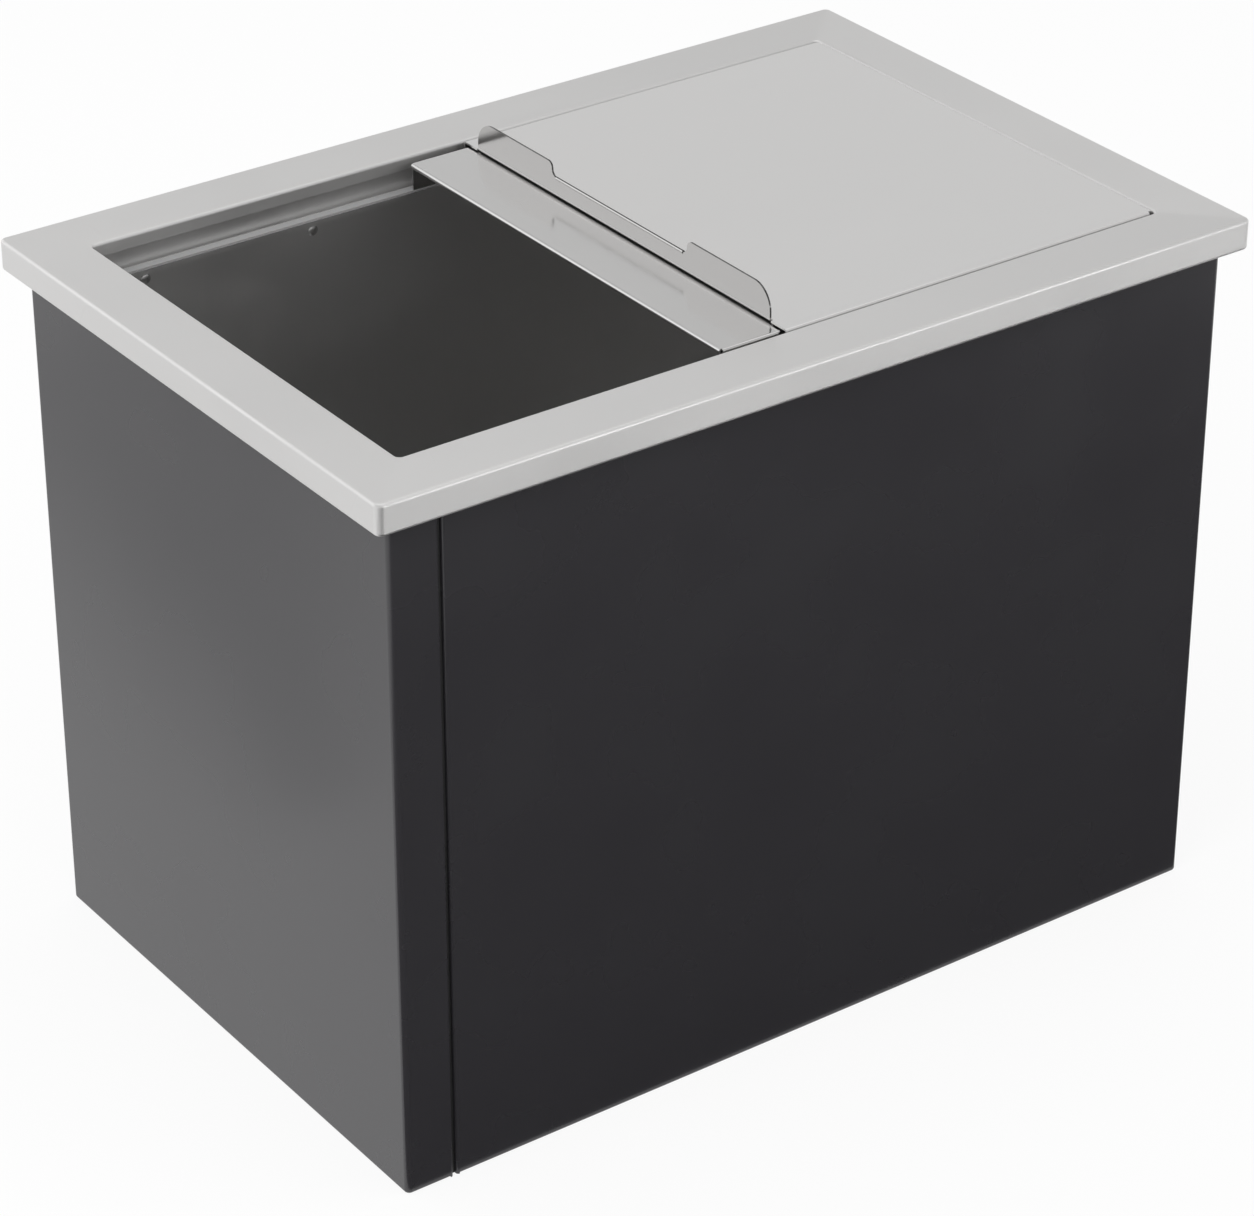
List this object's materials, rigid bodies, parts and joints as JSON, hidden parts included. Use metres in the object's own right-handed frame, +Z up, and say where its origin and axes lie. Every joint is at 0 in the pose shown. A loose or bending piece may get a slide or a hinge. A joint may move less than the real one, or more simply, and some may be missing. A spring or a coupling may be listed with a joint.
{
  "type": "ice bin",
  "caption": "Insulated drop-in ice bin: brushed steel rim, dark painted casing, drained tub and a two-panel sliding cover with an upright lip.",
  "frame": {"origin": "centre of the footprint on the plane that the casing stands on", "axes": "+X to the right along the front, +Y to the back, +Z up"},
  "size_m": [0.53, 0.352, 0.412],
  "materials": {
    "rim_steel": "fine brushed, satin",
    "lid_steel": "fine brushed, satin",
    "tub_steel": "satin",
    "casing_paint": "satin charcoal powder coat",
    "seam_rubber": "matt",
    "sealing_tape": "matt",
    "rivet_steel": "satin",
    "glide_plastic": "smooth, low friction",
    "insulation_foam": "rigid foam",
    "base_steel": "zinc coated",
    "drain_steel": "polished",
    "nut_plastic": "moulded",
    "fibre_washer": "pressed fibre",
    "plug_rubber": "matt"
  },
  "bodies": {
    "bin": {"top_frame": "rim_steel", "rim_seal": "sealing_tape", "inner_tub": "tub_steel", "left_casing": "casing_paint", "main_casing": "casing_paint", "front_seam_seal": "seam_rubber", "back_seam_seal": "seam_rubber", "seam_rivets": "rivet_steel", "flange_rivets": "rivet_steel", "front_lid_rail": "tub_steel", "back_lid_rail": "tub_steel", "front_glide_strip": "glide_plastic", "back_glide_strip": "glide_plastic", "rail_rivets": "rivet_steel", "front_insulation": "insulation_foam", "back_insulation": "insulation_foam", "left_insulation": "insulation_foam", "right_insulation": "insulation_foam", "base_insulation": "insulation_foam", "base_panel": "base_steel", "base_cleats": "base_steel", "base_screws": "rivet_steel", "drain_body": "drain_steel", "drain_gasket": "seam_rubber", "drain_washer": "fibre_washer", "drain_locknut": "nut_plastic", "base_grommet": "seam_rubber"},
    "upper_lid": {"upper_lid": "lid_steel"},
    "lower_lid": {"lower_lid": "lid_steel"},
    "drain_plug": {"drain_plug": "plug_rubber"}
  },
  "joints": [
    {"name": "upper_lid_slide", "type": "slide", "parent": "bin", "child": "upper_lid", "axis": [-1, 0, 0], "range_m": [0, 0.224]},
    {"name": "lower_lid_slide", "type": "slide", "parent": "bin", "child": "lower_lid", "axis": [-1, 0, 0], "range_m": [0, 0.187]},
    {"name": "drain_plug_lift", "type": "slide", "parent": "bin", "child": "drain_plug", "axis": [0, 0, 1], "range_m": [0, 0.36]}
  ]
}
